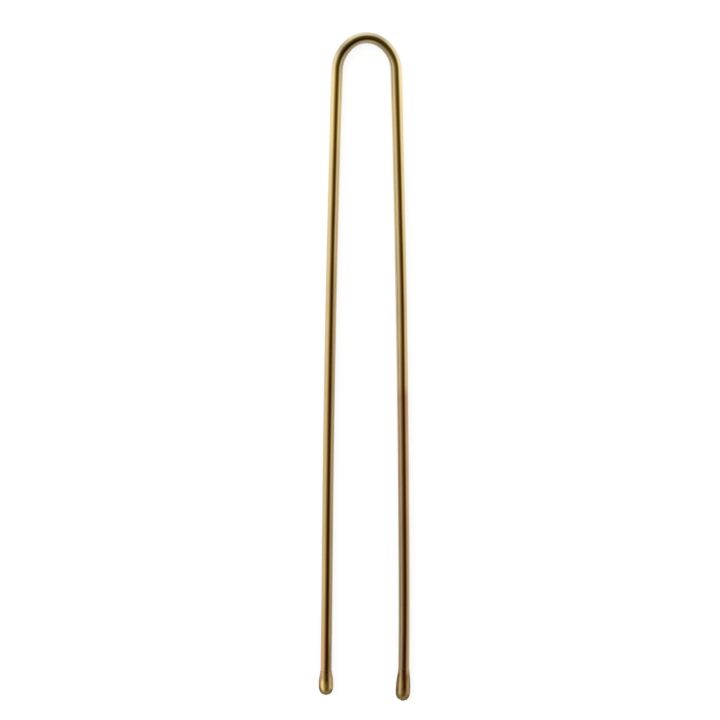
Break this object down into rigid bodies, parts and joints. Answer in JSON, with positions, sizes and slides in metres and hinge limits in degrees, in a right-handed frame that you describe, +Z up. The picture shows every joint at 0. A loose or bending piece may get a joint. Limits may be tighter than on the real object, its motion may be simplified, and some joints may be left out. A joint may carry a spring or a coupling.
{
  "type": "hairpin",
  "caption": "Slim U-shaped hairpin of round gold-plated spring wire, with long, slightly bowed legs that flex at the crown and a rounded lacquer drop over each wire end.",
  "frame": {"origin": "bottom centre of the pin's bounding box, as it lies flat on its drops", "axes": "+Y along the pin towards the crown, +X across the legs, +Z up; the middle of the wire is level, 0.82 mm above the surface"},
  "size_m": [0.0103, 0.0752, 0.0016],
  "materials": {
    "plated_wire": "polished gold plating over drawn spring steel wire",
    "gold_lacquer": "glossy gold-coloured lacquer, set as a drop"
  },
  "bodies": {
    "crown": {"crown": "plated_wire"},
    "left_leg": {"left_leg": "plated_wire", "left_tip": "gold_lacquer"},
    "right_leg": {"right_leg": "plated_wire", "right_tip": "gold_lacquer"}
  },
  "joints": [
    {"name": "left_leg_flex", "type": "hinge", "parent": "crown", "child": "left_leg", "pos_m": [-0.00347, 0.02526, 0.00082], "axis": [0, 0, -1], "range_deg": [-3.1, 8], "stiffness_Nm_per_rad": 0.66},
    {"name": "right_leg_flex", "type": "hinge", "parent": "crown", "child": "right_leg", "pos_m": [0.00362, 0.02526, 0.00082], "axis": [0, 0, 1], "range_deg": [-3.1, 8], "stiffness_Nm_per_rad": 0.66}
  ]
}
